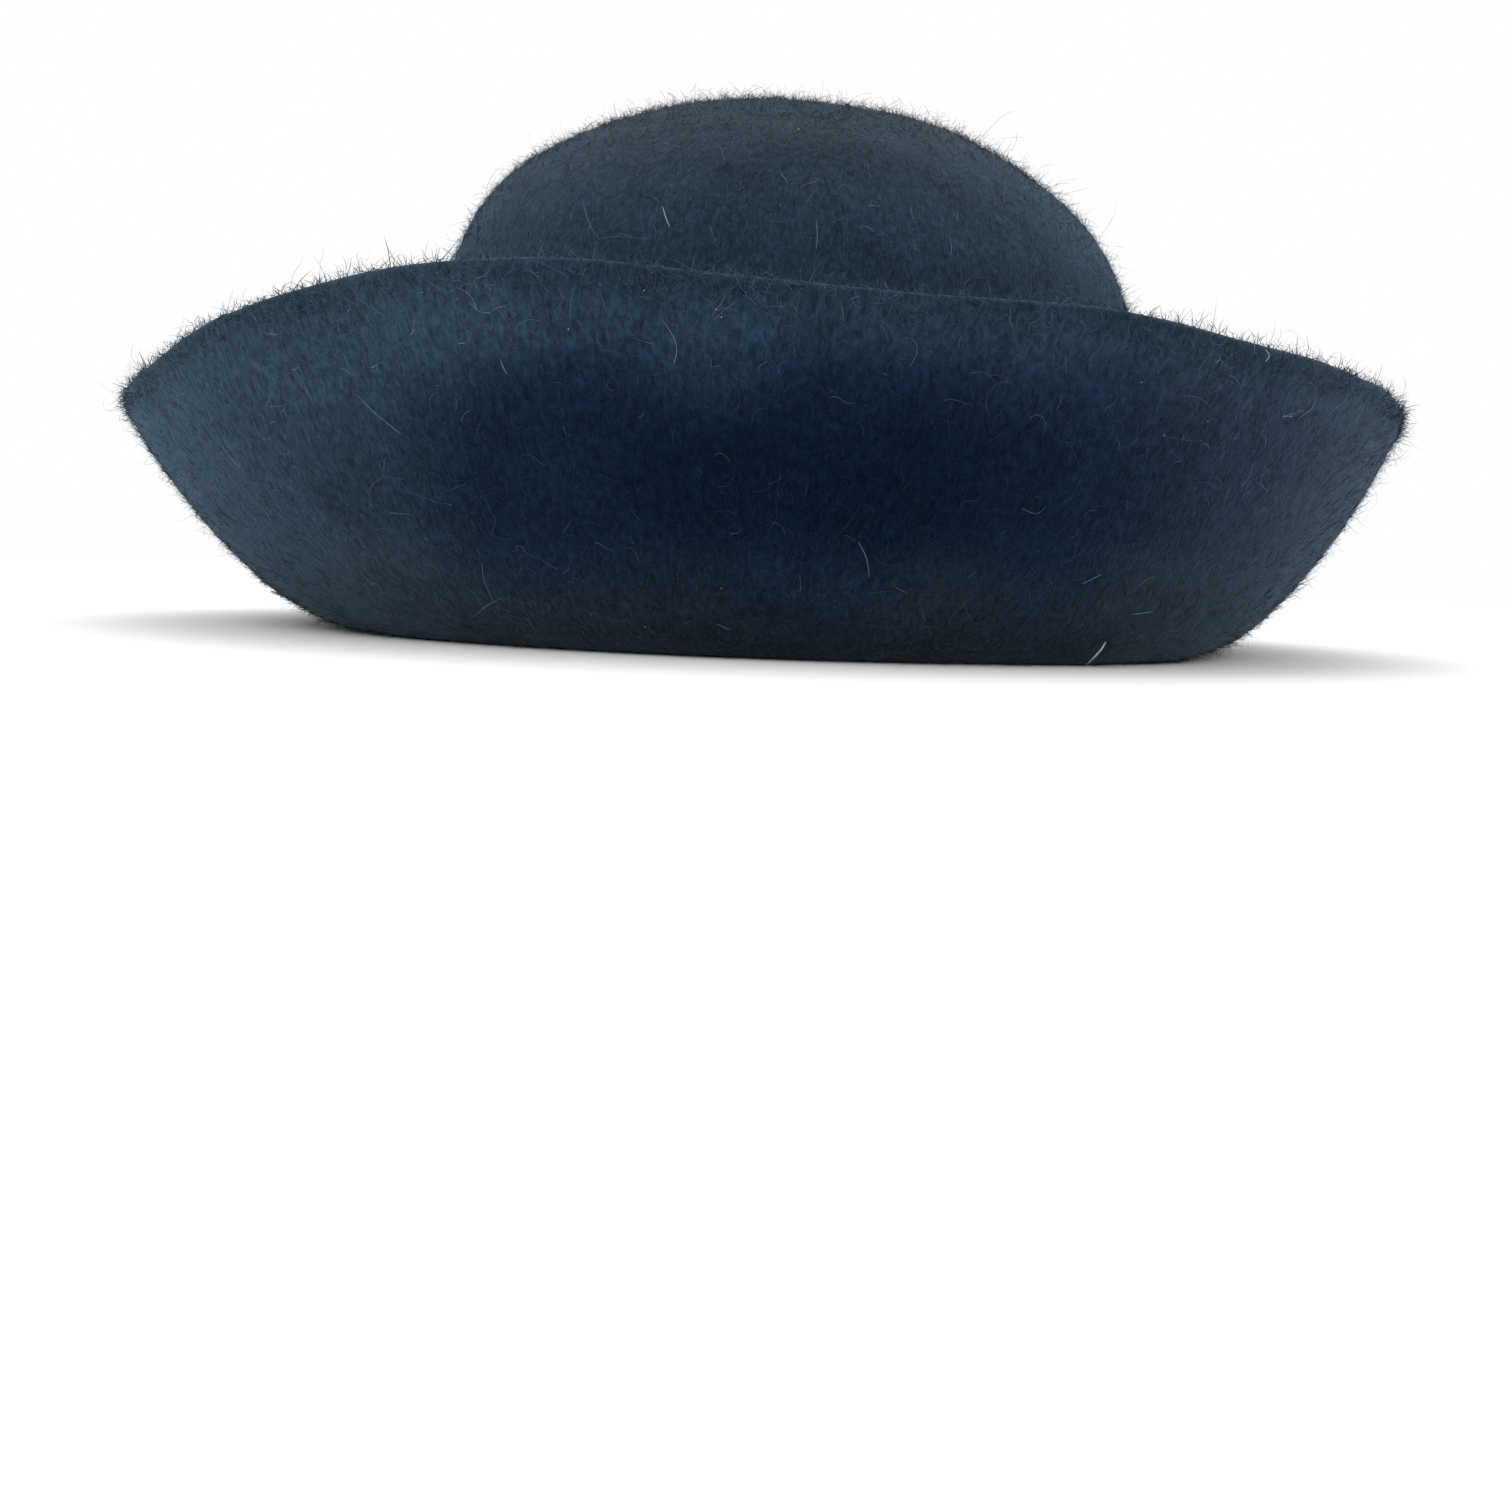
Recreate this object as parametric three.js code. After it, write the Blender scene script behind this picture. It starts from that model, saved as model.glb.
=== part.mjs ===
// Wide-brim wool hat, blocked in one piece from a single thick felt: a round crown, and a deep brim
// that dips to the surface it stands on and then turns up all round.
// Millimetres, +Z up, the front of the hat towards -Y. It stands at z = 0 on the underside of its
// brim, with the middle of its outline on the Z axis.
import * as THREE from "three";

// Driving dimensions of the felt
const feltThickness = 3;
const crownWidth = 176; // outside, from side to side
const crownLength = 198; // outside, from front to back
const crownHeight = 117; // top of the crown above the head line
const domeHeight = 60; // rounded top of the crown, above its upright wall
const headLineRise = 11.5; // underside of the crease between crown and brim, above the surface
const creaseRadius = 9; // turn from the crown's wall into the brim, on the underside
const dipAngle = 14; // slope of the brim from the crease down to its foot, in degrees
const footReach = 18; // from the crown's wall out to the flat band that the hat stands on
const footWidth = 8; // that band, pressed flat by the hat's weight
const brimReach = 68; // from the crown's wall out to the brim's edge
const brimRise = 57; // brim's edge above the surface
const lipAngle = 68; // slope of the brim at its edge, in degrees

// How full the curves are, as shares of the lengths that they span
const domeFullness = 0.58; // 0.55 is a true ellipse, and more is squarer
const dipFullness = 0.4;
const bowlFullness = 0.36;
const lipFullness = 0.25;

// No side of the hat is quite like another. Each row is a section every 30 degrees round, from the
// front to the right side, the back and the left side. Reach, rise and foot are shares of brimReach,
// brimRise and footReach, and dome is a share of domeFullness.
const sections = [
  { at: "front", reach: 1.0, rise: 1.06, foot: 1.15, dome: 1.0 },
  { at: "front, right", reach: 0.97, rise: 1.0, foot: 1.2, dome: 0.98 },
  { at: "right, front", reach: 0.9, rise: 0.96, foot: 0.85, dome: 0.97 },
  { at: "right", reach: 0.88, rise: 0.94, foot: 0.8, dome: 0.96 },
  { at: "right, back", reach: 0.91, rise: 0.95, foot: 0.9, dome: 0.97 },
  { at: "back, right", reach: 0.97, rise: 1.0, foot: 1.0, dome: 0.98 },
  { at: "back", reach: 1.0, rise: 1.04, foot: 1.1, dome: 1.0 },
  { at: "back, left", reach: 1.01, rise: 1.04, foot: 1.0, dome: 1.04 },
  { at: "left, back", reach: 1.02, rise: 0.97, foot: 0.9, dome: 1.1 },
  { at: "left", reach: 1.03, rise: 0.88, foot: 0.8, dome: 1.14 },
  { at: "left, front", reach: 1.03, rise: 0.89, foot: 0.85, dome: 1.12 },
  { at: "front, left", reach: 1.01, rise: 1.06, foot: 1.0, dome: 1.05 },
];

// Soft waves in the brim's edge, at an angle round from the front. The lift is a share of brimRise,
// and the spread is the angle in which a wave dies away.
const edgeWaves = [
  { around: -17, spread: 11, lift: 0.045 },
  { around: -36, spread: 8, lift: 0.012 },
  { around: 4, spread: 8, lift: -0.015 },
  { around: 19, spread: 7, lift: 0.015 },
  { around: 152, spread: 12, lift: 0.02 },
  { around: -150, spread: 14, lift: -0.025 },
];

// Facets
const sectionCount = 64;
const steps = { dome: 9, wall: 2, crease: 3, dip: 3, foot: 1, bowl: 9, edge: 4 };

const { sin, cos, exp, hypot, PI } = Math;
const radians = THREE.MathUtils.degToRad;

// A column of the section table at an angle round from the front, on a smooth closed curve.
const columnCurve = (column) =>
  new THREE.CatmullRomCurve3(
    sections.map((row) => new THREE.Vector3(row[column], 0, 0)),
    true,
    "catmullrom",
  );
const [reachCurve, riseCurve, footCurve, domeCurve] =
  ["reach", "rise", "foot", "dome"].map(columnCurve);

// What the waves add to the share of brimRise at an angle round from the front.
function waveLift(degrees) {
  return edgeWaves.reduce((lift, wave) => {
    const away = THREE.MathUtils.euclideanModulo(degrees - wave.around + 180, 360) - 180;
    return lift + wave.lift * exp(-((away / wave.spread) ** 2));
  }, 0);
}

// The felt's underside in one section, as a path from the top of the crown down its inside, round
// the crease and out to the brim's edge. Its x is the distance from the hat's axis, its y a height,
// and turn is the share of a full turn round from the front.
function undersidePath(turn) {
  const angle = 2 * PI * turn;
  const wall = 1 / hypot(sin(angle) / (crownWidth / 2), cos(angle) / (crownLength / 2));
  const inside = wall - feltThickness;
  const top = headLineRise + crownHeight - feltThickness;
  const domeBase = headLineRise + crownHeight - domeHeight;
  const fullness = domeFullness * domeCurve.getPoint(turn).x;

  const dip = radians(dipAngle);
  const creaseX = inside + creaseRadius;
  const creaseY = headLineRise + creaseRadius * cos(dip);
  const dipX = creaseX - creaseRadius * sin(dip);
  const footX = wall + footReach * footCurve.getPoint(turn).x;
  const dipHandle = dipFullness * (footX - dipX);

  const lip = radians(lipAngle);
  const bowlX = footX + footWidth;
  const edgeRadius = feltThickness / 2;
  const reach = brimReach * reachCurve.getPoint(turn).x;
  const rise = brimRise * (riseCurve.getPoint(turn).x + waveLift(360 * turn));
  const edgeX = wall + reach - edgeRadius * (1 - sin(lip));
  const edgeY = rise - edgeRadius * (1 + cos(lip));
  const bowlHandle = bowlFullness * (edgeX - bowlX);
  const lipHandle = lipFullness * edgeY;

  const path = new THREE.Path();
  path.moveTo(0, top);
  path.bezierCurveTo(
    fullness * inside, top,
    inside, domeBase + fullness * (top - domeBase),
    inside, domeBase,
  );
  path.lineTo(inside, creaseY);
  path.absarc(creaseX, creaseY, creaseRadius, PI, 1.5 * PI - dip, false);
  path.bezierCurveTo(
    dipX + dipHandle * cos(dip), headLineRise - dipHandle * sin(dip),
    footX - dipHandle, 0,
    footX, 0,
  );
  path.lineTo(bowlX, 0);
  path.bezierCurveTo(
    bowlX + bowlHandle, 0,
    edgeX - lipHandle * cos(lip), edgeY - lipHandle * sin(lip),
    edgeX, edgeY,
  );
  return path;
}

// One whole section of the felt: the underside from the axis to the edge, the round edge, and the
// upper side back to the axis, one thickness off.
function feltSection(turn) {
  const stepsIn = [steps.dome, steps.wall, steps.crease, steps.dip, steps.foot, steps.bowl];
  const underside = [];
  const upper = [];
  const addPoint = (curve, t) => {
    const point = curve.getPoint(t);
    const tangent = curve.getTangent(t);
    const across = new THREE.Vector2(-tangent.y, tangent.x).multiplyScalar(feltThickness);
    underside.push(point);
    upper.push(across.add(point));
  };
  const curves = undersidePath(turn).curves;
  curves.forEach((curve, index) => {
    for (let step = 0; step < stepsIn[index]; step++) addPoint(curve, step / stepsIn[index]);
  });
  addPoint(curves.at(-1), 1);

  const middle = underside.at(-1).clone().lerp(upper.at(-1), 0.5);
  const edge = [];
  for (let step = 1; step < steps.edge; step++) {
    edge.push(underside.at(-1).clone().rotateAround(middle, (PI * step) / steps.edge));
  }
  return [...underside, ...edge, ...upper.reverse()];
}

// The sections stood round the axis and skinned into one closed solid. Each section's two ends are
// the same two points on the axis.
function feltGeometry() {
  const outline = feltSection(0);
  const ringCount = outline.length - 2;
  const positions = [];
  const triangles = [];
  for (let k = 0; k < sectionCount; k++) {
    const turn = k / sectionCount;
    for (const { x, y } of feltSection(turn).slice(1, -1)) {
      positions.push(x * sin(2 * PI * turn), -x * cos(2 * PI * turn), y);
    }
  }
  const insideTop = positions.length / 3;
  const outsideTop = insideTop + 1;
  positions.push(0, 0, outline[0].y, 0, 0, outline.at(-1).y);

  for (let k = 0; k < sectionCount; k++) {
    const here = k * ringCount;
    const next = ((k + 1) % sectionCount) * ringCount;
    triangles.push(insideTop, next, here);
    for (let ring = 0; ring < ringCount - 1; ring++) {
      triangles.push(here + ring, next + ring, next + ring + 1);
      triangles.push(here + ring, next + ring + 1, here + ring + 1);
    }
    triangles.push(outsideTop, here + ringCount - 1, next + ringCount - 1);
  }

  const geometry = new THREE.BufferGeometry();
  geometry.setAttribute("position", new THREE.Float32BufferAttribute(positions, 3));
  geometry.setIndex(triangles);
  geometry.computeVertexNormals();
  geometry.computeBoundingBox();
  const centre = geometry.boundingBox.getCenter(new THREE.Vector3());
  geometry.translate(-centre.x, -centre.y, 0);
  return geometry;
}

const navyWool = new THREE.MeshStandardMaterial({ color: 0x1e2d42, roughness: 0.95, metalness: 0 });

const felt = new THREE.Mesh(feltGeometry(), navyWool);
felt.name = "felt_body";

const hat = new THREE.Group();
hat.add(felt);

export default hat;
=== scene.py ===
import math

import bmesh
import bpy
import numpy as np
from mathutils import Matrix, Vector
from mathutils.bvhtree import BVHTree


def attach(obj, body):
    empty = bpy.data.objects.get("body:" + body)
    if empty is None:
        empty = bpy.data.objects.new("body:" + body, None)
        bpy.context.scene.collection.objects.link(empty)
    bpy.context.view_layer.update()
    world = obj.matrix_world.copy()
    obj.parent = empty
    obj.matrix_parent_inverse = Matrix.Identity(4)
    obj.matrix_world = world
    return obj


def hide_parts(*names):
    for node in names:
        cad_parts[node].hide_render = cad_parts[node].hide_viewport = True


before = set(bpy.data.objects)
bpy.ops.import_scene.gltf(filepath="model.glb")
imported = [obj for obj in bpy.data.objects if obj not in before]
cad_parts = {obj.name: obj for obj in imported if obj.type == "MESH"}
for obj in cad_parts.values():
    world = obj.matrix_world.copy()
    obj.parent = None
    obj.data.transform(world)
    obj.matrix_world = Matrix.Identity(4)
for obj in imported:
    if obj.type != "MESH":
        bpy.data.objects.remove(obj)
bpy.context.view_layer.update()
print("frame loaded")

mm = 0.001


# Small helpers

def linear(red, green, blue):
    # a screen colour, 0 to 255, as the linear colour that the shader wants
    def one(value):
        value /= 255
        return value / 12.92 if value <= 0.04045 else ((value + 0.055) / 1.055) ** 2.4
    return one(red), one(green), one(blue), 1.0


def unit(vectors):
    length = np.linalg.norm(vectors, axis=-1, keepdims=True)
    return vectors / np.maximum(length, 1e-12)


def smoothNoise(points, size, seed):
    # soft unevenness between about -1 and 1: a few crossed waves, each bent by a longer one
    waves, sumHeight = 7, 3.2
    longer, bendDepth = 1.9, 1.3
    draw = np.random.default_rng(seed)
    total = np.zeros(len(points))
    for _ in range(waves):
        direction = unit(draw.normal(size=3))
        stretch = draw.uniform(0.6, 1.7)
        phase = draw.uniform(0, 2 * math.pi)
        bend = points @ unit(draw.normal(size=3)) * (2 * math.pi / (size * longer))
        total += np.sin(points @ direction * (2 * math.pi * stretch / size) + phase
                        + bendDepth * np.sin(bend + phase))
    return total / sumHeight


def ramp(values, low, high):
    # from 0 at the low value to 1 at the high one, softly
    share = np.clip((values - low) / (high - low), 0, 1)
    return share * share * (3 - 2 * share)


def fall(values, low, high):
    return 1 - ramp(values, low, high)


def smoothCurve(a, b, c, d, t):
    # a share t of the way from b to c, on the smooth curve through all four points
    return b + 0.5 * t * (c - a + t * (2 * a - 5 * b + 4 * c - d + t * (3 * (b - c) + d - a)))


def addObject(name, data):
    made = bpy.data.objects.new(name, data)
    bpy.context.scene.collection.objects.link(made)
    return made


# Where the photograph was taken from, in the hat's frame

studio = {
    "world": (1, 1, 1, 1),
    "worldStrength": 1.0,
    "camera": Vector((1, -405, 15)) * mm,
    "pitch": math.radians(6.8),  # downwards
    "bank": math.radians(1.9),
    "lens": 36,
    "sensor": 36,
    "photoSize": 1512,  # pixels across
}
studio["aim"] = (Matrix.Rotation(math.pi / 2 - studio["pitch"], 4, "X")
                 @ Matrix.Rotation(studio["bank"], 4, "Z"))


# The felt's sections, read back from the frame

def readSections(node):
    # Each section is one closed outline standing on the hat's axis: inside of the crown, underside
    # of the brim, round edge, top of the brim, outside of the crown
    shape = bmesh.new()
    shape.from_mesh(node.data)
    bmesh.ops.remove_doubles(shape, verts=shape.verts, dist=0.02 * mm)
    shape.verts.ensure_lookup_table()
    points = np.array([v.co for v in shape.verts])
    top = points[np.argmax(points[:, 2])]
    axisX, axisY = top[0], top[1]
    spoke = np.hypot(points[:, 0] - axisX, points[:, 1] - axisY)
    onAxis = np.nonzero(spoke < 0.2 * mm)[0]
    insideTop, outsideTop = sorted(onAxis, key=lambda i: points[i, 2])
    angle = np.arctan2(points[:, 0] - axisX, -(points[:, 1] - axisY)) % (2 * math.pi)
    count = len(shape.verts[insideTop].link_edges)
    section = np.round(angle / (2 * math.pi) * count).astype(int) % count
    sections = []
    for k in range(count):
        chain = [insideTop]
        here = shape.verts[insideTop]
        while True:
            onward = [e.other_vert(here) for e in here.link_edges]
            onward = [v for v in onward if v.index not in chain
                      and (section[v.index] == k or v.index == outsideTop)
                      and v.index != insideTop]
            inner = [v for v in onward if v.index != outsideTop]
            if not inner:
                chain.append(outsideTop)
                break
            here = min(inner, key=lambda v: (v.co - here.co).length)
            chain.append(here.index)
        sections.append(points[chain])
    shape.free()
    lengths = {len(s) for s in sections}
    assert len(lengths) == 1, "the frame's felt has sections of different lengths"
    return np.array(sections), Vector((axisX, axisY, 0))


sections, axis = readSections(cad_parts["felt_body"])
print("felt read back as", sections.shape[0], "sections of", sections.shape[1], "points")


# The same felt at a finer grain

feltFinish = {
    "columns": 256,  # around the hat
    "rowLength": 3.2 * mm,  # along a section
    "lump": 0.35 * mm,  # soft unevenness of thick felt
    "lumpSize": 46 * mm,
    "dimple": 0.02 * mm,
    "dimpleSize": 14 * mm,
    # the foot bears on the surface at the front and back, and is a little clear of it at the sides
    "sideLift": {"right": (64, 15, 2.4 * mm), "left": (-70, 13, 1.6 * mm)},  # degrees, spread, lift
    "liftFades": 26 * mm,  # height at which the lift has died away
    "mapRadius": 120 * mm,  # the map is as long around as a circle of this radius
}


def finerAround(grid, count):
    # smooth closed curve through every ring of points
    knots = grid.shape[0]
    where = np.arange(count) * knots / count
    k = where.astype(int)
    t = (where - k)[:, None, None]
    return smoothCurve(*(grid[(k + shift) % knots] for shift in (-1, 0, 1, 2)), t)


def finerAlong(grid, step):
    # smooth curve along every section, keeping the points that it has
    spans = np.linalg.norm(np.diff(grid, axis=1), axis=2).mean(0)
    place = np.concatenate([[0], np.cumsum(spans)])
    slopes = np.empty_like(grid)
    before, after = spans[:-1, None], spans[1:, None]
    rise = np.diff(grid, axis=1) / spans[:, None]
    slopes[:, 1:-1] = (rise[:, :-1] * after + rise[:, 1:] * before) / (before + after)
    half = grid.shape[0] // 2
    slopes[:, 0] = (grid[:, 1] - np.roll(grid[:, 1], half, axis=0)) / (2 * spans[0])
    slopes[:, -1] = (np.roll(grid[:, -2], half, axis=0) - grid[:, -2]) / (2 * spans[-1])
    rows, places = [], []
    for i, span in enumerate(spans):
        pieces = max(1, math.ceil(span / step))
        for j in range(pieces):
            t = j / pieces
            rows.append((2 * t**3 - 3 * t**2 + 1) * grid[:, i]
                        + (t**3 - 2 * t**2 + t) * span * slopes[:, i]
                        + (3 * t**2 - 2 * t**3) * grid[:, i + 1]
                        + (t**3 - t**2) * span * slopes[:, i + 1])
            places.append(place[i] + t * span)
    rows.append(grid[:, -1])
    places.append(place[-1])
    return np.stack(rows, axis=1), np.array(places)


def gridFrames(grid):
    # at every point of the grid: along the section, around the hat, and out of the felt
    along = np.empty_like(grid)
    along[:, 1:-1] = grid[:, 2:] - grid[:, :-2]
    along[:, 0] = grid[:, 1] - grid[:, 0]
    along[:, -1] = grid[:, -1] - grid[:, -2]
    around = np.roll(grid, -1, axis=0) - np.roll(grid, 1, axis=0)
    around[:, 0] = around[:, 1]
    around[:, -1] = around[:, -2]
    along, around = unit(along), unit(around)
    return along, around, unit(np.cross(around, along))


grid = finerAround(sections, feltFinish["columns"])
grid, arcPlace = finerAlong(grid, feltFinish["rowLength"])
along, around, outward = gridFrames(grid)

# The rows where one part of the hat passes into the next. There is only brim further than
# pastCrown from the axis, and its crease and foot lie below lowFelt
pastCrown, lowFelt = 130 * mm, 20 * mm
heights = grid[:, :, 2].mean(0)
spokes = np.hypot(grid[:, :, 0] - axis.x, grid[:, :, 1] - axis.y).mean(0)
edgeRow = int(np.argmax(np.where(spokes > pastCrown, heights, 0)))
headRow = int(np.nonzero(heights[:edgeRow] < lowFelt)[0][0])
creaseRow = edgeRow + int(np.nonzero(heights[edgeRow:] < lowFelt)[0][-1])
lastRow = grid.shape[1] - 1

# Uneven all over, save for the flat foot
flat = grid[:, :, 2] < 0.02 * mm
everyPoint = grid.reshape(-1, 3)
lumps = feltFinish["lump"] * smoothNoise(everyPoint, feltFinish["lumpSize"], seed=3)
lumps += feltFinish["dimple"] * smoothNoise(everyPoint, feltFinish["dimpleSize"], seed=5)
lumps = lumps.reshape(grid.shape[:2])
lumps[:, [0, -1]] = lumps[:, [0, -1]].mean(0)
lumps[flat] = 0
grid = grid + outward * lumps[:, :, None]
turned = np.degrees(np.arctan2(grid[:, :, 0] - axis.x, -(grid[:, :, 1] - axis.y)))
for degrees, spread, lift in feltFinish["sideLift"].values():
    bump = np.exp(-((turned - degrees) / spread) ** 2)
    grid[:, :, 2] += lift * bump * np.clip(1 - grid[:, :, 2] / feltFinish["liftFades"], 0, 1)
grid[:, :, 2] = np.maximum(grid[:, :, 2], 0)
along, around, outward = gridFrames(grid)
print("felt grid", grid.shape[:2], "rows at head, edge, crease", headRow, edgeRow, creaseRow)


def makeFelt():
    columns, rows = grid.shape[:2]
    inner = grid[:, 1:-1].reshape(-1, 3)
    vertices = np.vstack([inner, grid[0, 0], grid[0, -1]])
    insideTop, outsideTop = len(inner), len(inner) + 1
    ring = rows - 2
    faces = []
    for k in range(columns):
        here, there = k * ring, (k + 1) % columns * ring
        faces.append((insideTop, there, here))
        faces += [(here + r, there + r, there + r + 1, here + r + 1) for r in range(ring - 1)]
        faces.append((outsideTop, here + ring - 1, there + ring - 1))
    mesh = bpy.data.meshes.new("felt")
    mesh.from_pydata(vertices.tolist(), [], faces)
    layer = mesh.uv_layers.new(name="combed")
    # the map runs around the hat in its first number and along the section in its second, in metres
    corner = np.zeros(len(mesh.loops), int)
    mesh.loops.foreach_get("vertex_index", corner)
    sides = [len(p.vertices) for p in mesh.polygons]
    start = np.repeat([p.vertices[0] for p in mesh.polygons], sides)
    column = np.where(corner < len(inner), corner // ring, start // ring)
    cornersPerColumn = 3 + (ring - 1) * 4 + 3
    seam = (np.repeat(np.arange(columns), cornersPerColumn) == columns - 1) & (column == 0)
    column = np.where(seam, columns, column)
    onAxis = np.where(corner == insideTop, 0, rows - 1)
    row = np.where(corner < len(inner), corner % ring + 1, onAxis)
    distanceRound = column / columns * 2 * math.pi * feltFinish["mapRadius"]
    layer.data.foreach_set("uv", np.stack([distanceRound, arcPlace[row]], axis=1).ravel())
    mesh.shade_smooth()
    mesh.update()
    return addObject("felt", mesh)


# Colour of the wool by where it is on the hat, with light and shade painted in

woolColours = {
    "navy": linear(19, 35, 54),
    # painted shade: darker where the brim faces down, most of all in front
    "shadedNavy": linear(7, 21, 39),  # low on the outside of the brim, most of all in front
    # painted light: lighter where light from the left and sheen fall on the brim, and along the top
    # of its rim
    "litTeal": linear(47, 65, 80),  # lighter and greener, on the left of the brim and under its edge
    # painted light: the right of the brim, lit less than the left but lighter than the middle by
    # sheen
    "dark": linear(43, 53, 67),  # right of the brim
    "crown": linear(34, 48, 62),
    # painted reflection: duller and browner on top of the crown, where the light grazes it, and at
    # the foot, where it reflects what lies below
    "reflectedBrown": linear(33, 38, 42),  # duller, on top of the crown and at the foot
}

# Where a colour begins and is full, in metres
woolPlaces = {
    "brim": (0.092, 0.112),  # from the axis
    "halfWidth": 0.15,  # of the whole hat
    "sides": (0.15, 0.8),  # shares of that, to the left or right
    "frontMiddle": 0.005,  # to the right
    "frontSpread": 0.065,
    "front": (0.02, 0.08),  # towards the front
    "bandFrom": (0.011, 0.026),  # heights
    "bandTo": (0.036, 0.052),
    "edge": (0.046, 0.057),
    "crownTop": (0.080, 0.124),
    "foot": (0.004, 0.022),
}


def woolShade(points):
    # linear colour of the wool at each point, with soft cloudy changes and painted light and shade
    x, y, z = points[:, 0] - axis.x, points[:, 1], points[:, 2]
    shade = np.tile(woolColours["navy"][:3], (len(points), 1))

    def blendIn(name, share):
        nonlocal shade
        share = np.clip(share, 0, 1)[:, None]
        shade = shade * (1 - share) + np.array(woolColours[name][:3]) * share

    onBrim = ramp(np.hypot(x, y), *woolPlaces["brim"])
    cloud = smoothNoise(points, 60 * mm, seed=11)
    sideways = x / woolPlaces["halfWidth"]
    blendIn("crown", 1 - onBrim)
    # painted light: the left of the brim lighter, as light from the left and sheen fall on it
    blendIn("litTeal", onBrim * 0.9 * ramp(0.2 * cloud - sideways, *woolPlaces["sides"]))
    # painted light: the right of the brim lighter than the middle, duller than the left
    blendIn("dark", onBrim * 0.8 * ramp(0.2 * cloud + sideways, *woolPlaces["sides"]))
    # painted shade: a darker band low on the brim, where it faces down, most of all in front
    inFront = np.exp(-((x - woolPlaces["frontMiddle"]) / woolPlaces["frontSpread"]) ** 2)
    inFront *= ramp(-y, *woolPlaces["front"])
    band = ramp(z, *woolPlaces["bandFrom"]) * fall(z, *woolPlaces["bandTo"])
    blendIn("shadedNavy", onBrim * band * np.clip(0.15 + 0.85 * inFront + 0.15 * cloud, 0, 1))
    # painted light: the brim lighter towards the top of its rim, which catches the light
    blendIn("litTeal", onBrim * 0.6 * ramp(z, *woolPlaces["edge"]))
    # painted reflection: the top of the crown and the foot duller and browner
    blendIn("reflectedBrown", 0.85 * ramp(z + 3 * mm * cloud, *woolPlaces["crownTop"]))
    blendIn("reflectedBrown", 0.6 * fall(z - 4 * mm * cloud, *woolPlaces["foot"]))
    mottle = 1 + 0.10 * smoothNoise(points, 16 * mm, seed=12)
    mottle += 0.06 * smoothNoise(points, 5 * mm, seed=13)
    return shade * mottle[:, None]


def paint(mesh, colours):
    layer = mesh.attributes.new("wool", "FLOAT_COLOR", "POINT")
    opaque = np.concatenate([colours, np.ones((len(colours), 1))], axis=1)
    layer.data.foreach_set("color", opaque.astype(np.float32).ravel())


# Materials

def setAll(node, values):
    for name, value in values.items():
        node.inputs[name].default_value = value


def newMaterial(name, surface):
    material = bpy.data.materials.new(name)
    material.use_nodes = True
    shader = material.node_tree.nodes["Principled BSDF"]
    setAll(shader, {"Metallic": 0, **surface})
    return material, shader


def addNoise(tree, place, noise):
    node = tree.nodes.new("ShaderNodeTexNoise")
    setAll(node, noise)
    tree.links.new(place, node.inputs["Vector"])
    return node.outputs["Fac"]


def addRange(tree, value, spread):
    # the value, taken from between the first two numbers to between the last two
    node = tree.nodes.new("ShaderNodeMapRange")
    setAll(node, dict(zip(("From Min", "From Max", "To Min", "To Max"), spread)))
    tree.links.new(value, node.inputs["Value"])
    return node.outputs["Result"]


def addBump(tree, height, depth):
    node = tree.nodes.new("ShaderNodeBump")
    setAll(node, {"Distance": depth, "Strength": feltCloth["bumpStrength"]})
    tree.links.new(height, node.inputs["Height"])
    return node


def colourByWool(tree, shader, light):
    # the painted colour of the wool, made lighter and darker
    wool = tree.nodes.new("ShaderNodeAttribute")
    wool.attribute_name = "wool"
    tone = tree.nodes.new("ShaderNodeVectorMath")
    tone.operation = "SCALE"
    tree.links.new(wool.outputs["Color"], tone.inputs[0])
    tree.links.new(light, tone.inputs["Scale"])
    tree.links.new(tone.outputs["Vector"], shader.inputs["Base Color"])


sheenTint = linear(165, 196, 222)

feltCloth = {
    "surface": {"Roughness": 0.95, "Specular IOR Level": 0.03,
                "Sheen Weight": 0.30, "Sheen Roughness": 0.35, "Sheen Tint": sheenTint},
    "streakScale": (1600, 520, 1),  # around, along, off
    "streaks": {"Scale": 1, "Detail": 4, "Roughness": 0.6, "Distortion": 0.8},
    "streakLight": (0.3, 0.72, 0.55, 1.5),
    "streakDepth": 0.35 * mm,
    "pile": {"Scale": 620, "Detail": 5, "Roughness": 0.65},
    "pileLight": (0.3, 0.7, 0.7, 1.3),
    "pileDepth": 0.25 * mm,
    "bumpStrength": 0.8,
}


def makeFeltCloth():
    # brushed felt: streaks combed along the map's second number over a matted, grainy ground
    material, shader = newMaterial("wool_felt_cloth", feltCloth["surface"])
    tree = material.node_tree
    place = tree.nodes.new("ShaderNodeUVMap")
    place.uv_map = "combed"
    stretch = tree.nodes.new("ShaderNodeMapping")
    stretch.inputs["Scale"].default_value = feltCloth["streakScale"]
    tree.links.new(place.outputs["UV"], stretch.inputs["Vector"])
    streaks = addNoise(tree, stretch.outputs["Vector"], feltCloth["streaks"])
    solid = tree.nodes.new("ShaderNodeTexCoord")
    grains = addNoise(tree, solid.outputs["Object"], feltCloth["pile"])

    both = tree.nodes.new("ShaderNodeMath")
    both.operation = "MULTIPLY"
    tree.links.new(addRange(tree, streaks, feltCloth["streakLight"]), both.inputs[0])
    tree.links.new(addRange(tree, grains, feltCloth["pileLight"]), both.inputs[1])
    colourByWool(tree, shader, both.outputs["Value"])

    groove = addBump(tree, streaks, feltCloth["streakDepth"])
    rough = addBump(tree, grains, feltCloth["pileDepth"])
    tree.links.new(groove.outputs["Normal"], rough.inputs["Normal"])
    tree.links.new(rough.outputs["Normal"], shader.inputs["Normal"])
    return material


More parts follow.
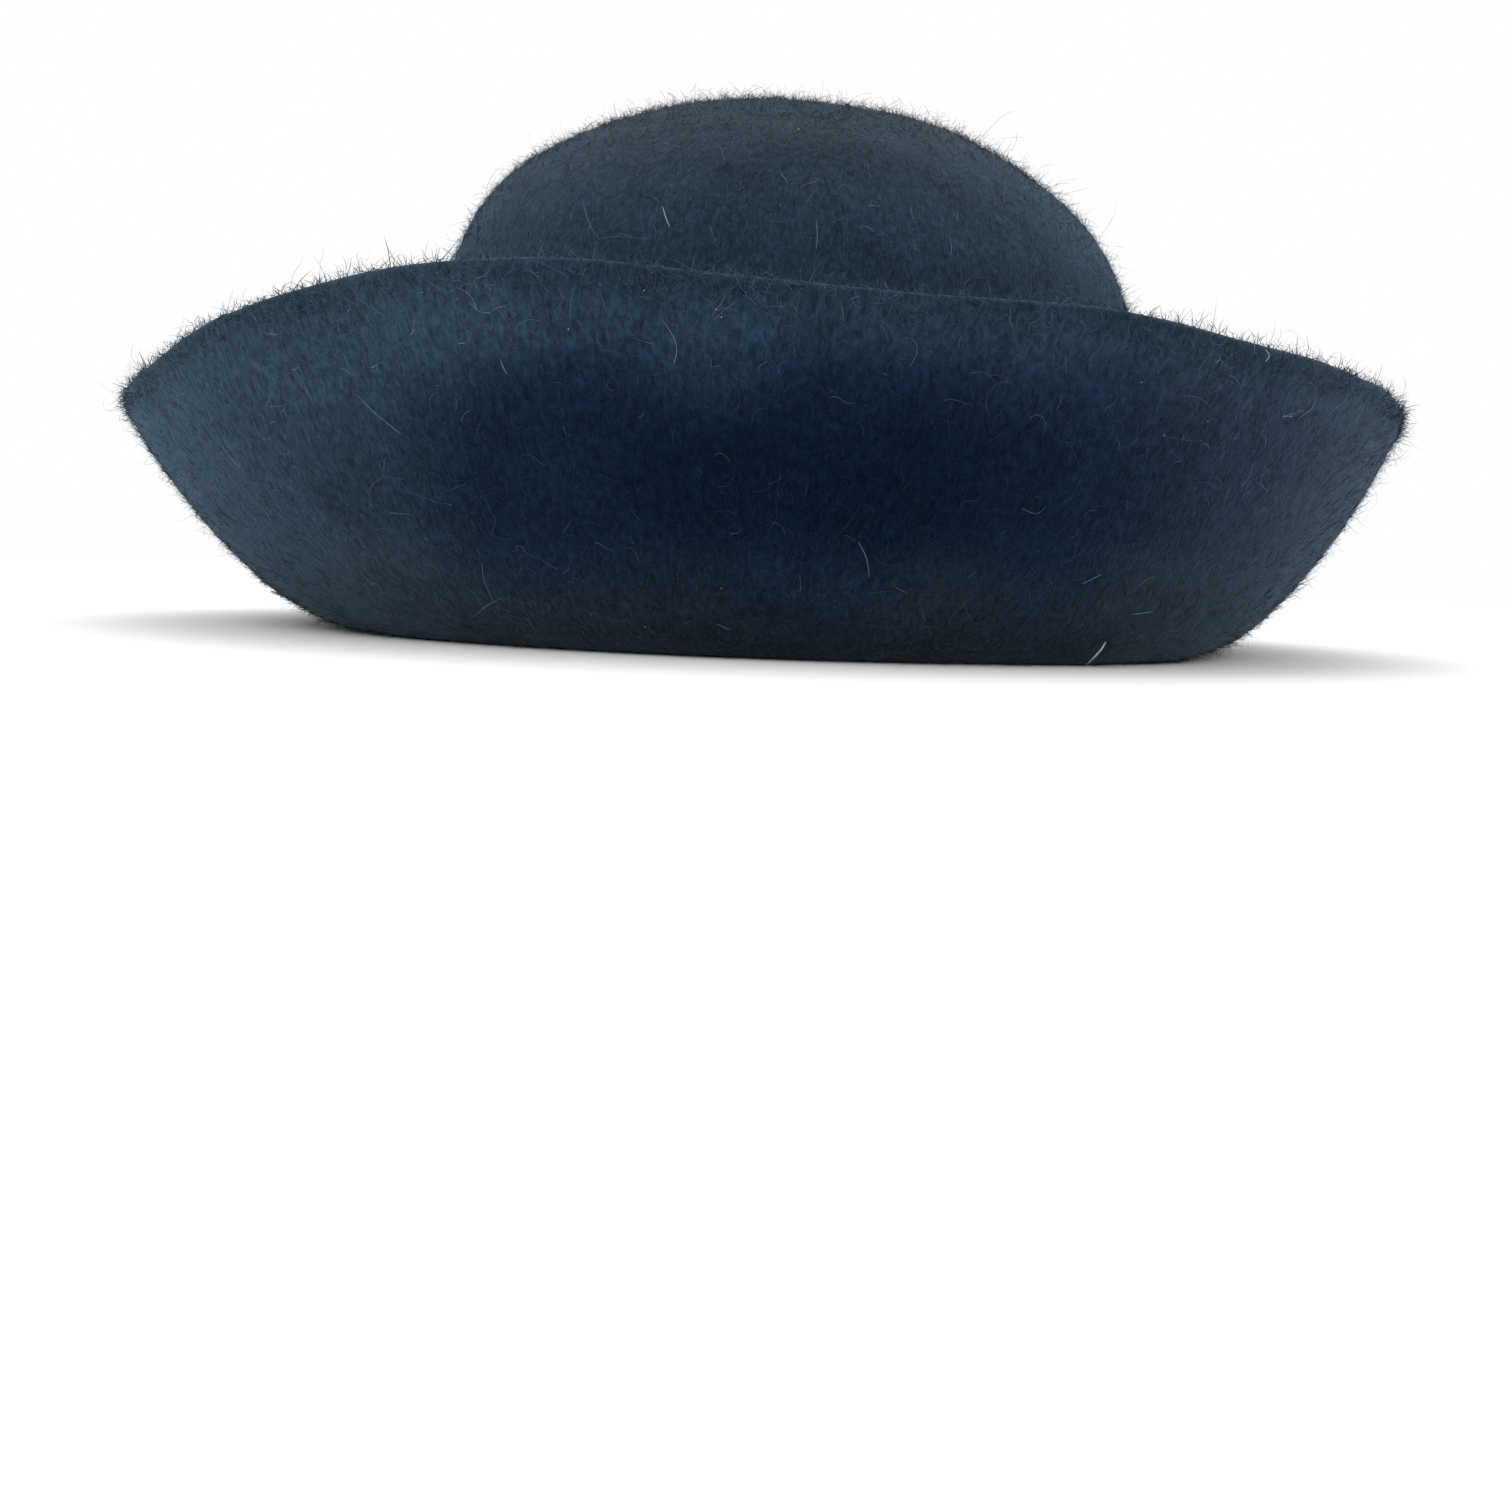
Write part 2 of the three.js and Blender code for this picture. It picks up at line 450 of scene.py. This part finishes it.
fibreWool = {
    "surface": {"Roughness": 0.8, "Specular IOR Level": 0.05,
                "Sheen Roughness": 0.5, "Sheen Tint": sheenTint},
    "scales": {"Scale": 900, "Detail": 2},
    "scalesLight": (0.3, 0.7, 0.8, 1.2),
    "sheen": {"nap_wool": 0.10, "fuzz_wool": 0.15, "lint": 0.10},
}


def makeFibreWool(name):
    # single wool fibres: their own colour, a little lighter and darker along each
    sheen = {"Sheen Weight": fibreWool["sheen"][name]}
    material, shader = newMaterial(name, {**fibreWool["surface"], **sheen})
    tree = material.node_tree
    solid = tree.nodes.new("ShaderNodeTexCoord")
    scales = addNoise(tree, solid.outputs["Object"], fibreWool["scales"])
    colourByWool(tree, shader, addRange(tree, scales, fibreWool["scalesLight"]))
    return material


# Felt

# painted shade along the rim's edge, which damps the bright line where the edge catches the light
paintedEdgeShade = {"darker": 0.4, "rows": (1, 6)}  # rows from the edge, where it is full and where it is gone

felt = makeFelt()
feltShade = woolShade(np.array([v.co for v in felt.data.vertices]))
rowOfVertex = np.append(np.tile(np.arange(1, lastRow), grid.shape[0]), [0, lastRow])
fromEdge = np.abs(rowOfVertex - edgeRow - 1)[:, None]
# painted shade: the felt darker along its edge, against the bright line of the lit rim
feltShade *= 1 - paintedEdgeShade["darker"] * fall(fromEdge, *paintedEdgeShade["rows"])
paint(felt.data, feltShade)
felt.data.materials.append(makeFeltCloth())
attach(felt, "root")
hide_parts("felt_body")
print("felt made with", sum(len(p.vertices) - 2 for p in felt.data.polygons), "triangles")


# Wool fibres that stand and lie on the felt

cellArea = np.linalg.norm(np.cross(np.roll(grid, -1, axis=0)[:, :-1] - grid[:, :-1],
                                   grid[:, 1:] - grid[:, :-1]), axis=2)


def sow(draw, count, fromRow, toRow, weight):
    # random places on the felt between two rows, evenly by area and then by weight
    spots = grid[:, fromRow:toRow].reshape(-1, 3)
    chance = cellArea[:, fromRow:toRow].ravel() * weight(spots)
    cell = draw.choice(len(chance), size=count, p=chance / chance.sum())
    width = toRow - fromRow
    column, row = cell // width, cell % width + fromRow
    nextColumn = (column + 1) % grid.shape[0]
    u, v = draw.random((2, count, 1))

    def between(values):
        low = values[column, row] * (1 - u) + values[nextColumn, row] * u
        high = values[column, row + 1] * (1 - u) + values[nextColumn, row + 1] * u
        return low * (1 - v) + high * v
    return between(grid), unit(between(along)), unit(between(around)), unit(between(outward))


everyFibre = {
    "swirl": 0.6,  # radians by which the brushing wanders
    "swirlSize": 14 * mm,
    "rootDepth": 0.15 * mm,  # sunk into the felt
    "leastMiddle": 0.12 * mm,  # height above the surface that the hat stands on
    "leastSide": 0.05 * mm,
    "turnRate": 5.0,  # radians of the wave along a fibre, sideways
    "climbRate": 4.0,  # and up and down
    "taper": 0.55,
    "greyTint": (0.88, 1.02, 1.14),  # a faded fibre stays a little blue
}


def makeFibres(name, style, material, weight=lambda points: 1.0):
    draw = np.random.default_rng(style["seed"])
    count, steps = style["count"], style["steps"]
    root, alongFelt, acrossFelt, outOfFelt = sow(draw, count, *style["rows"], weight)
    length = style["length"] * np.exp(style["lengthSpread"] * draw.normal(size=(count, 1)))
    heading = style["heading"] * draw.choice([-1, 1], (count, 1))
    heading = heading + style["stray"] * draw.normal(size=(count, 1))
    swirl = smoothNoise(root, everyFibre["swirlSize"], style["seed"] + 50)
    heading = heading + everyFibre["swirl"] * swirl[:, None]
    turn = style["curl"] * draw.normal(size=(count, 1))
    wave = style["wave"] * draw.normal(size=(count, 1))
    waveStart = draw.uniform(0, 2 * math.pi, (count, 1))
    lift = style["lift"] * np.abs(draw.normal(size=(count, 1))) + style["leastLift"]
    roll = style["roll"] * draw.normal(size=(count, 1))

    spot = root - everyFibre["rootDepth"] * outOfFelt
    spine, sides = [], []
    for step in range(steps + 1):
        share = step / steps
        sideways = np.sin(waveStart + everyFibre["turnRate"] * share)
        upDown = np.cos(waveStart + everyFibre["climbRate"] * share)
        bearing = heading + turn * share + wave * sideways
        climb = lift * (1 - style["droop"] * share) + 0.5 * wave * upDown
        toward = np.cos(bearing) * alongFelt + np.sin(bearing) * acrossFelt
        toward = np.cos(climb) * toward + np.sin(climb) * outOfFelt
        side = unit(np.cross(toward, outOfFelt))
        side = np.cos(roll) * side + np.sin(roll) * np.cross(toward, side)
        spine.append(spot)
        sides.append(side * (0.5 * style["width"] * (1 - everyFibre["taper"] * share)))
        spot = spot + toward * (length / steps)
        spot[:, 2] = np.maximum(spot[:, 2], everyFibre["leastMiddle"])

    perFibre = 2 * steps + 1
    vertices = np.empty((count, perFibre, 3))
    for step in range(steps):
        vertices[:, 2 * step] = spine[step] - sides[step]
        vertices[:, 2 * step + 1] = spine[step] + sides[step]
    vertices[:, -1] = spine[-1]
    vertices[:, :, 2] = np.maximum(vertices[:, :, 2], everyFibre["leastSide"])
    pattern = []
    for step in range(steps - 1):
        a = 2 * step
        pattern += [a, a + 1, a + 3, a, a + 3, a + 2]
    pattern += [perFibre - 3, perFibre - 2, perFibre - 1]
    corners = (np.arange(count)[:, None] * perFibre + np.array(pattern)).ravel()

    mesh = bpy.data.meshes.new(name)
    mesh.vertices.add(count * perFibre)
    mesh.vertices.foreach_set("co", vertices.astype(np.float32).ravel())
    mesh.loops.add(len(corners))
    mesh.loops.foreach_set("vertex_index", corners.astype(np.int32))
    mesh.polygons.add(len(corners) // 3)
    mesh.polygons.foreach_set("loop_start", np.arange(0, len(corners), 3, dtype=np.int32))
    mesh.update(calc_edges=True)
    mesh.shade_smooth()

    # every fibre has its own small cell of the map
    cells = math.ceil(math.sqrt(count))
    corner = np.stack([np.arange(count) % cells, np.arange(count) // cells], axis=1)[:, None]
    inCell = np.array([((0.5 if i == perFibre - 1 else 0.2 + 0.6 * (i % 2)),
                        0.1 + 0.8 * (i // 2) / steps) for i in range(perFibre)])
    places = ((corner + inCell) / cells).reshape(-1, 2)
    mesh.uv_layers.new(name="OFBake").data.foreach_set("uv", places[corners].ravel())

    tone = np.exp(style["tone"] + style["toneSpread"] * draw.normal(size=(count, 1)))
    grey = style["grey"] * draw.random((count, 1))
    # each fibre takes the wool's colour at its root, with its painted light and shade
    shade = woolShade(root) * tone
    faded = shade.mean(axis=1, keepdims=True) * np.array(everyFibre["greyTint"])
    paint(mesh, np.repeat(shade * (1 - grey) + faded * grey, perFibre, axis=0))

    fibres = addObject(name, mesh)
    mesh.materials.append(material)
    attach(fibres, "root")
    print(name, "made with", len(mesh.polygons), "triangles")


def nap(rows, count, seed, **changes):
    # short brushed fibres that lie nearly flat and cover the felt
    style = {"rows": rows, "count": count, "seed": seed, "steps": 2,
             "length": 3.4 * mm, "lengthSpread": 0.35, "width": 0.17 * mm,
             "heading": 0.0, "stray": 0.75, "curl": 1.1, "wave": 0.3,
             "lift": 0.22, "leastLift": 0.04, "droop": 0.8, "roll": 0.5,
             "tone": 0.2, "toneSpread": 0.25, "grey": 0.3}
    return {**style, **changes}


def pile(rows, count, seed, **changes):
    # very short fibres that stand up and soften every outline
    style = {"rows": rows, "count": count, "seed": seed, "steps": 2,
             "length": 2.1 * mm, "lengthSpread": 0.35, "width": 0.09 * mm,
             "heading": 0.0, "stray": 2.0, "curl": 1.2, "wave": 0.7,
             "lift": 0.8, "leastLift": 0.15, "droop": 0.5, "roll": 1.5,
             "tone": 0.25, "toneSpread": 0.3, "grey": 0.4}
    return {**style, **changes}


def fuzz(rows, count, seed, **changes):
    # long loose fibres that curl clear of the felt
    style = {"rows": rows, "count": count, "seed": seed, "steps": 5,
             "length": 3.9 * mm, "lengthSpread": 0.38, "width": 0.065 * mm,
             "heading": math.pi / 2, "stray": 1.0, "curl": 2.4, "wave": 1.3,
             "lift": 0.55, "leastLift": 0.10, "droop": 0.7, "roll": 1.5,
             "tone": 0.5, "toneSpread": 0.4, "grey": 0.5}
    return {**style, **changes}


def strands(rows, count, seed, **changes):
    # fewer, lighter fibres that show one by one
    style = {"rows": rows, "count": count, "seed": seed, "steps": 7,
             "length": 4.6 * mm, "lengthSpread": 0.38, "width": 0.12 * mm,
             "heading": 0.0, "stray": 0.9, "curl": 1.8, "wave": 0.8,
             "lift": 0.08, "leastLift": 0.06, "droop": 1.0, "roll": 0.3,
             "tone": 1.1, "toneSpread": 0.45, "grey": 0.9}
    return {**style, **changes}


napWool = makeFibreWool("nap_wool")
fuzzWool = makeFibreWool("fuzz_wool")

makeFibres("nap_under_brim", nap((headRow, edgeRow + 2), 36000, 21), napWool)
makeFibres("nap_crown", nap((creaseRow, lastRow - 1), 30000, 22, length=2.8 * mm), napWool)
makeFibres("nap_over_brim", nap((edgeRow, creaseRow + 2), 20000, 23), napWool)
makeFibres("nap_inside", nap((1, headRow + 2), 8000, 24, length=2.6 * mm), napWool)
makeFibres("strands_brim", strands((headRow, edgeRow - 3), 3200, 25), napWool)
makeFibres("strands_over_brim", strands((edgeRow + 4, creaseRow), 1200, 28), napWool)
makeFibres("strands_crown", strands((creaseRow, lastRow - 1), 2200, 29), napWool)


def nearOutline(points):
    # more loose fibres on top of the crown and along the brim's edge
    x, y, z = points[:, 0] - axis.x, points[:, 1], points[:, 2]
    rim = ramp(np.hypot(x, y), 0.12, 0.15) * ramp(z, 0.03, 0.05)
    return 1 + 1.5 * rim + 1.2 * ramp(z, 0.09, 0.12)


makeFibres("pile_brim", pile((headRow, creaseRow), 28000, 26), fuzzWool, nearOutline)
makeFibres("pile_crown", pile((creaseRow, lastRow - 1), 36000, 27), fuzzWool, nearOutline)
# the fibres along the edge are darker: painted shade against the bright line of the lit rim
makeFibres("pile_edge", pile((edgeRow - 3, edgeRow + 4), 16000, 30, width=0.16 * mm, tone=-0.1),
           fuzzWool)
makeFibres("fuzz_edge", fuzz((edgeRow - 3, edgeRow + 5), 5000, 33, length=3.4 * mm, curl=3.4,
                             stray=0.5, lift=0.4, tone=0.1), fuzzWool)
makeFibres("fuzz_brim", fuzz((headRow, creaseRow), 15000, 31), fuzzWool, nearOutline)
makeFibres("fuzz_crown", fuzz((creaseRow, lastRow - 1), 11000, 32, length=4.0 * mm, heading=math.pi,
                              stray=0.8, curl=1.4, wave=0.8, width=0.08 * mm), fuzzWool, nearOutline)


# Loose hairs and specks of lint

looseHairs = {
    "pale": linear(190, 202, 208),
    "light": linear(120, 136, 146),
    "grey": linear(70, 88, 101),
    # each runs through pixels of the photograph, 1512 across: width in millimetres, colour, points
    "seen": [
        (0.36, "pale", (1084, 663), (1093, 654), (1100, 646), (1104, 639)),
        (0.18, "grey", (484, 561), (486, 578), (495, 598)),
        (0.17, "grey", (475, 615), (489, 603), (505, 595)),
        (0.20, "light", (664, 209), (667, 219), (671, 229)),
        (0.15, "grey", (644, 197), (653, 198), (661, 205)),
        (0.14, "grey", (585, 206), (591, 225), (601, 241)),
        (0.14, "grey", (601, 241), (618, 238), (652, 241)),
        (0.20, "grey", (816, 222), (817, 236), (816, 251)),
        (0.18, "grey", (780, 175), (784, 180), (788, 186)),
        (0.20, "grey", (661, 155), (667, 153), (674, 151)),
        (0.18, "grey", (304, 375), (309, 388), (316, 402)),
        (0.18, "grey", (359, 393), (378, 412), (404, 433)),
        (0.22, "grey", (502, 358), (505, 366), (509, 373)),
        (0.18, "grey", (1129, 612), (1140, 611), (1152, 609)),
        (0.18, "grey", (1080, 582), (1090, 577), (1100, 572)),
        (0.18, "grey", (1296, 516), (1309, 497), (1333, 465)),
        (0.20, "light", (1262, 350), (1266, 356), (1262, 361)),
        (0.20, "grey", (858, 540), (866, 556), (869, 575)),
    ],
    "specks": [(722, 586), (646, 624), (1162, 434), (1205, 420), (1139, 381), (500, 218), (645, 290),
               (570, 328), (717, 308), (722, 316), (692, 223)],
    "speck": 0.26 * mm,  # across
    "offFelt": 0.7 * mm,  # they lie on the nap
    "leastHeight": 0.3 * mm,
    "stepsBetween": 4,  # from one point to the next
}


def makeLooseHairs():
    surface = BVHTree.FromObject(felt, bpy.context.evaluated_depsgraph_get())
    aim = studio["aim"].to_3x3()

    def onFelt(x, y):
        # a place just off the felt that shows at a pixel of the photograph, and the ray to it
        half = studio["photoSize"] / 2
        spread = studio["sensor"] / studio["lens"] / studio["photoSize"]
        ray = aim @ Vector(((x - half) * spread, (half - y) * spread, -1)).normalized()
        spot, normal, _, _ = surface.ray_cast(studio["camera"], ray)
        if spot is None:
            return None
        if normal.dot(ray) > 0:
            normal = -normal
        return spot + normal * looseHairs["offFelt"], ray

    shape = bmesh.new()
    shade = shape.verts.layers.float_color.new("wool")
    for width, colour, *pixels in looseHairs["seen"]:
        marks = [onFelt(x, y) for x, y in pixels]
        marks = [mark for mark in marks if mark]
        if len(marks) < 2:
            continue
        last = len(marks) - 1
        lastStep = looseHairs["stepsBetween"] * last
        rows = []
        for step in range(lastStep + 1):
            t = step / looseHairs["stepsBetween"]
            i = min(int(t), last - 1)
            before, after = marks[max(i - 1, 0)][0], marks[min(i + 2, last)][0]
            (here, ray), (there, _) = marks[i], marks[i + 1]
            spot = smoothCurve(before, here, there, after, t - i)
            side = (there - here).normalized().cross(ray).normalized()
            # thinner towards both ends
            taper = 0.25 + 0.75 * math.sin(math.pi * (0.12 + 0.8 * step / lastStep))
            side *= 0.5 * width * mm * taper
            spot.z = max(spot.z, looseHairs["leastHeight"])
            rows.append([shape.verts.new(spot - side), shape.verts.new(spot + side)])
        for row in rows:
            for vertex in row:
                vertex[shade] = looseHairs[colour]
        for (a, b), (c, d) in zip(rows, rows[1:]):
            shape.faces.new((a, b, d, c))
    for x, y in looseHairs["specks"]:
        mark = onFelt(x, y)
        if mark:
            made = bmesh.ops.create_icosphere(shape, subdivisions=1, radius=looseHairs["speck"] / 2,
                                              matrix=Matrix.Translation(mark[0]))
            for vertex in made["verts"]:
                vertex[shade] = looseHairs["light"]
    mesh = bpy.data.meshes.new("loose_hairs")
    shape.to_mesh(mesh)
    shape.free()
    mesh.materials.append(makeFibreWool("lint"))
    hairs = addObject("loose_hairs", mesh)
    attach(hairs, "root")
    print("loose_hairs made with", len(mesh.polygons), "faces")


# Floor, light and camera

floorFinish = {
    "reach": 8.0,
    "level": -0.05 * mm,  # a hair's breadth below the foot, so that the two faces don't lie in one
    "rings": 24,
    "sectors": 96,
    "surface": {"Base Color": (0.86, 0.86, 0.86, 1), "Roughness": 0.9, "Specular IOR Level": 0.1},
}

# Discs of light that face the hat: place and size across in metres, power in watts
lamps = {
    "key": ((-1.1, -1.0, 1.6), 1.2, 11),
    "fill": ((1.4, -0.8, 1.2), 1.4, 5),
    "top": ((0.1, 0.3, 1.9), 1.6, 6),
}
lampsAim = Vector((0, 0, 0.05))
daylight = {"strength": 0.7, "spread": math.radians(80)}


def makeFloor():
    level, rings, sectors = floorFinish["level"], floorFinish["rings"], floorFinish["sectors"]
    vertices = [(0, 0, level)]
    for ring in range(1, rings + 1):
        out = floorFinish["reach"] * (ring / rings) ** 2
        for sector in range(sectors):
            angle = 2 * math.pi * sector / sectors
            vertices.append((out * math.cos(angle), out * math.sin(angle), level))
    faces = [(0, 1 + s, 1 + (s + 1) % sectors) for s in range(sectors)]
    for ring in range(rings - 1):
        here, there = 1 + ring * sectors, 1 + (ring + 1) * sectors
        for s in range(sectors):
            t = (s + 1) % sectors
            faces.append((here + s, there + s, there + t, here + t))
    mesh = bpy.data.meshes.new("floor")
    mesh.from_pydata(vertices, [], faces)
    mesh.materials.append(newMaterial("pale_floor", floorFinish["surface"])[0])
    floor = addObject("floor", mesh)


def addLamp(name, place, size, power):
    data = bpy.data.lights.new(name, "AREA")
    data.shape = "DISK"
    data.size = size
    data.energy = power
    lamp = addObject(name, data)
    lamp.location = place
    lamp.rotation_euler = (lampsAim - Vector(place)).to_track_quat("-Z", "Y").to_euler()


def makeStudio():
    scene = bpy.context.scene
    scene.view_settings.view_transform = "Standard"
    world = bpy.data.worlds.new("pale_studio")
    world.use_nodes = True
    sky = world.node_tree.nodes["Background"]
    sky.inputs["Color"].default_value = studio["world"]
    sky.inputs["Strength"].default_value = studio["worldStrength"]
    scene.world = world
    for name, lamp in lamps.items():
        addLamp(name, *lamp)
    data = bpy.data.lights.new("daylight", "SUN")
    data.energy = daylight["strength"]
    data.angle = daylight["spread"]
    addObject("daylight", data)
    data = bpy.data.cameras.new("camera")
    data.sensor_width = studio["sensor"]
    data.lens = studio["lens"]
    data.clip_start = 10 * mm
    camera = addObject("camera", data)
    camera.matrix_world = Matrix.Translation(studio["camera"]) @ studio["aim"]
    scene.camera = camera


makeLooseHairs()
makeFloor()
makeStudio()
print("studio made")
